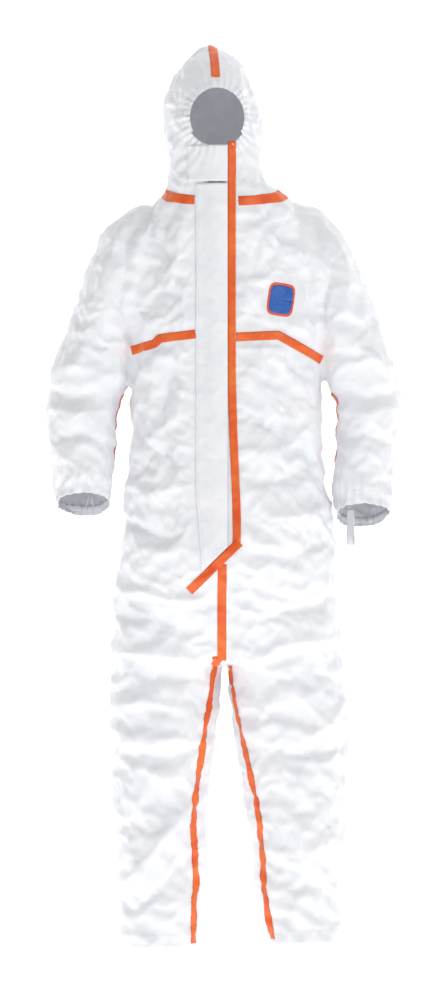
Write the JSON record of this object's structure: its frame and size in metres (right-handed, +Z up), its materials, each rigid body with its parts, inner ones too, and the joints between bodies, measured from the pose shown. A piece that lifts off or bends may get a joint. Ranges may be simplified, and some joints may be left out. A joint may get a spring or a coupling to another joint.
{
  "type": "chemical protective suit",
  "caption": "Hooded one-piece protective coverall with taped seams, a covered front zip, elastic cuffs and finger loops, hollow as worn.",
  "frame": {"origin": "under the middle of the suit's bounding box, at the level of the lower hem", "axes": "+Z up along the wearer, -Y out of the front, +X towards the viewer's right; left and right in the names are as seen from the front"},
  "size_m": [0.6746, 0.284, 1.756],
  "materials": {
    "shell": "white film-coated flash-spun nonwoven, paper-like creases, slight satin",
    "seam_tape": "orange heat-sealed film tape, satin",
    "elastic": "knitted elastic under cloth",
    "loop_webbing": "soft woven elastic",
    "zip_tape": "woven polyester",
    "zip_plastic": "white nylon, smooth",
    "adhesive": "clear double-sided adhesive strip",
    "badge": "printed film patch, blue with an orange edge, no text"
  },
  "bodies": {
    "root": {"hood_left": "shell", "hood_right": "shell", "yoke_left": "shell", "yoke_right": "shell", "body_left": "shell", "body_right": "shell", "thigh_left": "shell", "thigh_right": "shell", "crotch_gusset": "shell", "hood_tape": "seam_tape", "neck_tape_left": "seam_tape", "neck_tape_right": "seam_tape", "neck_tape_back": "seam_tape", "chest_tape_left": "seam_tape", "chest_tape_right": "seam_tape", "chest_tape_back": "seam_tape", "front_tape": "seam_tape", "flap_end_tape": "seam_tape", "crotch_tape": "seam_tape", "seat_tape": "seam_tape", "back_tape": "seam_tape", "inseam_tape_thigh_left": "seam_tape", "inseam_tape_thigh_right": "seam_tape", "face_elastic": "elastic", "waist_elastic": "elastic", "zip_tape_left": "zip_tape", "zip_tape_right": "zip_tape", "zip_coil_left": "zip_plastic", "zip_coil_right": "zip_plastic", "zip_bottom_stop": "zip_plastic", "zip_top_stop": "zip_plastic", "chest_badge": "badge"},
    "zip_slider": {"zip_slider": "zip_plastic"},
    "zip_pull": {"zip_pull": "zip_plastic"},
    "storm_flap": {"storm_flap": "shell", "storm_flap_adhesive": "adhesive"},
    "chin_flap": {"chin_flap": "shell", "chin_flap_adhesive": "adhesive"},
    "upper_sleeve_left": {"upper_sleeve_left": "shell", "sleeve_tape_upper_left": "seam_tape"},
    "forearm_left": {"forearm_left": "shell", "cuff_left": "shell", "cuff_elastic_left": "elastic", "sleeve_tape_forearm_left": "seam_tape"},
    "finger_loop_left": {"finger_loop_left": "loop_webbing"},
    "shin_left": {"shin_left": "shell", "hem_left": "shell", "inseam_tape_shin_left": "seam_tape"},
    "upper_sleeve_right": {"upper_sleeve_right": "shell", "sleeve_tape_upper_right": "seam_tape"},
    "forearm_right": {"forearm_right": "shell", "cuff_right": "shell", "cuff_elastic_right": "elastic", "sleeve_tape_forearm_right": "seam_tape"},
    "finger_loop_right": {"finger_loop_right": "loop_webbing"},
    "shin_right": {"shin_right": "shell", "hem_right": "shell", "inseam_tape_shin_right": "seam_tape"}
  },
  "joints": [
    {"name": "zip_slide", "type": "slide", "parent": "root", "child": "zip_slider", "axis": [0, -0.0454, -0.999], "range_m": [0, 0.72]},
    {"name": "pull_swing", "type": "hinge", "parent": "zip_slider", "child": "zip_pull", "pos_m": [-0.01454, -0.10266, 1.52128], "axis": [0, -0.999, 0.0454], "range_deg": [-15, 15]},
    {"name": "storm_flap_open", "type": "hinge", "parent": "root", "child": "storm_flap", "pos_m": [0.00646, -0.12095, 1.1188], "axis": [0, 0.0454, 0.999], "range_deg": [0, 120]},
    {"name": "chin_flap_open", "type": "hinge", "parent": "root", "child": "chin_flap", "pos_m": [0.00646, -0.10275, 1.51939], "axis": [0, 0.0454, 0.999], "range_deg": [0, 120]},
    {"name": "shoulder_swing_left", "type": "hinge", "parent": "root", "child": "upper_sleeve_left", "pos_m": [-0.18154, 0.01072, 1.335], "axis": [-1, 0, 0], "range_deg": [-20, 45]},
    {"name": "elbow_bend_left", "type": "hinge", "parent": "upper_sleeve_left", "child": "forearm_left", "pos_m": [-0.27354, 0.01142, 1.065], "axis": [-1, 0, 0], "range_deg": [0, 45]},
    {"name": "finger_loop_swing_left", "type": "hinge", "parent": "forearm_left", "child": "finger_loop_left", "pos_m": [-0.26054, -0.06458, 0.873], "axis": [-1, 0, 0], "range_deg": [-25, 25]},
    {"name": "knee_bend_left", "type": "hinge", "parent": "root", "child": "shin_left", "pos_m": [-0.11304, 0.01742, 0.43], "axis": [1, 0, 0], "range_deg": [0, 45]},
    {"name": "shoulder_swing_right", "type": "hinge", "parent": "root", "child": "upper_sleeve_right", "pos_m": [0.18846, 0.01072, 1.335], "axis": [-1, 0, 0], "range_deg": [-20, 45]},
    {"name": "elbow_bend_right", "type": "hinge", "parent": "upper_sleeve_right", "child": "forearm_right", "pos_m": [0.28046, 0.01142, 1.065], "axis": [-1, 0, 0], "range_deg": [0, 45]},
    {"name": "finger_loop_swing_right", "type": "hinge", "parent": "forearm_right", "child": "finger_loop_right", "pos_m": [0.24546, -0.05858, 0.849], "axis": [-1, 0, 0], "range_deg": [-25, 25]},
    {"name": "knee_bend_right", "type": "hinge", "parent": "root", "child": "shin_right", "pos_m": [0.12696, 0.01742, 0.43], "axis": [1, 0, 0], "range_deg": [0, 45]}
  ]
}
